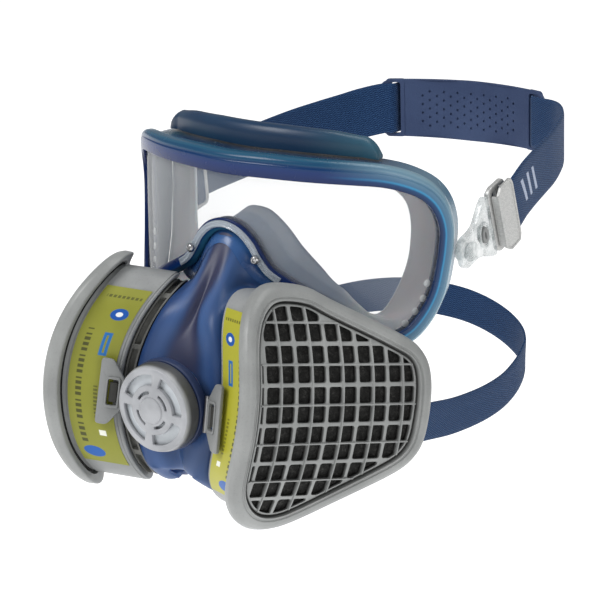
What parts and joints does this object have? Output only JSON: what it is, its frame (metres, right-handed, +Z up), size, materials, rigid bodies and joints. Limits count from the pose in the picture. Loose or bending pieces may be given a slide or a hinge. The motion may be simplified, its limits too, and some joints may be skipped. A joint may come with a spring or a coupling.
{
  "type": "respirator",
  "caption": "Full-face respirator with a wrap-around goggle, half mask, side filter cartridges, exhalation valve and webbing harness.",
  "frame": {"origin": "face seat: on the plane of symmetry, where the wearer's face meets the seal, at the height of the goggle's lower edge", "axes": "+X to the wearer's left, -Y forward out of the exhalation valve, +Y back towards the wearer's face, +Z up; the mask and goggle are symmetric about X = 0"},
  "size_m": [0.1786, 0.263, 0.159],
  "materials": {
    "half_mask_body": "soft blue rubbery plastic",
    "half_mask_seal": "translucent blue silicone",
    "goggle_frame": "translucent blue plastic",
    "brow_bar": "dark blue plastic",
    "lens": "clear polycarbonate",
    "goggle_skirt": "smoky grey translucent rubber",
    "nose_clamp": "clear plastic",
    "nose_screw": "bright",
    "cartridge_housing": "satin grey",
    "cartridge_cover": "satin grey",
    "filter_media": "dark granular medium",
    "cartridge_label": "olive yellow film",
    "port_ring": "satin grey",
    "port_gasket": "matt",
    "inhalation_flap": "thin",
    "latch": "satin grey",
    "latch_pin": "bright",
    "valve_seat": "navy",
    "exhalation_flap": "thin",
    "valve_cover": "satin grey",
    "clip_pivot": "translucent blue plastic",
    "strap_clip": "clear plastic",
    "clip_button": "clear plastic",
    "buckle": "silver grey",
    "buckle_lever": "silver grey",
    "upper_strap": "blue elastic webbing",
    "head_pad": "matt blue",
    "neck_strap": "blue elastic webbing",
    "neck_bracket": "blue plastic"
  },
  "bodies": {
    "mask": {"half_mask_body": "half_mask_body", "half_mask_seal": "half_mask_seal", "goggle_frame": "goggle_frame", "brow_bar": "brow_bar", "lens": "lens", "goggle_skirt": "goggle_skirt", "nose_clamp": "nose_clamp", "valve_seat": "valve_seat", "nose_screw_left": "nose_screw", "nose_screw_right": "nose_screw", "port_ring_left": "port_ring", "port_ring_right": "port_ring", "port_gasket_left": "port_gasket", "port_gasket_right": "port_gasket", "latch_pin_left": "latch_pin", "latch_pin_right": "latch_pin", "clip_pivot_left": "clip_pivot", "clip_pivot_right": "clip_pivot", "neck_bracket_left": "neck_bracket", "neck_bracket_right": "neck_bracket"},
    "upper_harness": {"head_pad": "head_pad", "strap_clip_left": "strap_clip", "strap_clip_right": "strap_clip", "buckle_left": "buckle", "buckle_right": "buckle", "upper_strap_left": "upper_strap", "upper_strap_right": "upper_strap"},
    "neck_loop": {"neck_strap": "neck_strap"},
    "valve_cover_body": {"valve_cover": "valve_cover"},
    "exhalation_flap_body": {"exhalation_flap": "exhalation_flap"},
    "cartridge_left_body": {"cartridge_housing_left": "cartridge_housing", "cartridge_cover_left": "cartridge_cover", "filter_media_left": "filter_media", "cartridge_label_left": "cartridge_label"},
    "latch_left_body": {"latch_left": "latch"},
    "inhalation_flap_left_body": {"inhalation_flap_left": "inhalation_flap"},
    "clip_button_left_body": {"clip_button_left": "clip_button"},
    "buckle_lever_left_body": {"buckle_lever_left": "buckle_lever"},
    "cartridge_right_body": {"cartridge_housing_right": "cartridge_housing", "cartridge_cover_right": "cartridge_cover", "filter_media_right": "filter_media", "cartridge_label_right": "cartridge_label"},
    "latch_right_body": {"latch_right": "latch"},
    "inhalation_flap_right_body": {"inhalation_flap_right": "inhalation_flap"},
    "clip_button_right_body": {"clip_button_right": "clip_button"},
    "buckle_lever_right_body": {"buckle_lever_right": "buckle_lever"}
  },
  "joints": [
    {"name": "upper_harness_swing", "type": "hinge", "parent": "mask", "child": "upper_harness", "pos_m": [0, 0.009, 0.035], "axis": [1, 0, 0], "range_deg": [-30, 50]},
    {"name": "neck_strap_swing", "type": "hinge", "parent": "mask", "child": "neck_loop", "pos_m": [0, -0.005, -0.041], "axis": [1, 0, 0], "range_deg": [-15, 35]},
    {"name": "valve_cover_twist", "type": "hinge", "parent": "mask", "child": "valve_cover_body", "pos_m": [0, -0.0926, -0.0206], "axis": [0, -1, 0], "range_deg": [0, 30]},
    {"name": "exhalation_flap_lift", "type": "slide", "parent": "mask", "child": "exhalation_flap_body", "axis": [0, -1, 0], "range_m": [0, 0.0012], "stiffness_N_per_m": 20},
    {"name": "cartridge_left_release", "type": "slide", "parent": "mask", "child": "cartridge_left_body", "axis": [0.8995, -0.4238, 0.1067], "range_m": [0, 0.045]},
    {"name": "latch_left_open", "type": "hinge", "parent": "mask", "child": "latch_left_body", "pos_m": [0.02071, -0.09054, -0.02075], "axis": [0.0282, -0.1872, -0.9819], "range_deg": [0, 40]},
    {"name": "inhalation_flap_left_lift", "type": "slide", "parent": "mask", "child": "inhalation_flap_left_body", "axis": [-0.8995, 0.4238, -0.1067], "range_m": [0, 0.0013], "stiffness_N_per_m": 20},
    {"name": "clip_button_left_press", "type": "slide", "parent": "upper_harness", "child": "clip_button_left_body", "axis": [-1, 0, 0], "range_m": [0, 0.0012], "stiffness_N_per_m": 400},
    {"name": "buckle_lever_left_open", "type": "hinge", "parent": "upper_harness", "child": "buckle_lever_left_body", "pos_m": [0.0842, 0.02991, 0.04303], "axis": [0, 0.3584, -0.9336], "range_deg": [0, 60]},
    {"name": "cartridge_right_release", "type": "slide", "parent": "mask", "child": "cartridge_right_body", "axis": [-0.8995, -0.4238, 0.1067], "range_m": [0, 0.045]},
    {"name": "latch_right_open", "type": "hinge", "parent": "mask", "child": "latch_right_body", "pos_m": [-0.02071, -0.09054, -0.02075], "axis": [0.0282, 0.1872, 0.9819], "range_deg": [0, 40]},
    {"name": "inhalation_flap_right_lift", "type": "slide", "parent": "mask", "child": "inhalation_flap_right_body", "axis": [0.8995, 0.4238, -0.1067], "range_m": [0, 0.0013], "stiffness_N_per_m": 20},
    {"name": "clip_button_right_press", "type": "slide", "parent": "upper_harness", "child": "clip_button_right_body", "axis": [1, 0, 0], "range_m": [0, 0.0012], "stiffness_N_per_m": 400},
    {"name": "buckle_lever_right_open", "type": "hinge", "parent": "upper_harness", "child": "buckle_lever_right_body", "pos_m": [-0.0842, 0.03123, 0.03773], "axis": [0, -0.1219, 0.9925], "range_deg": [0, 60]}
  ]
}
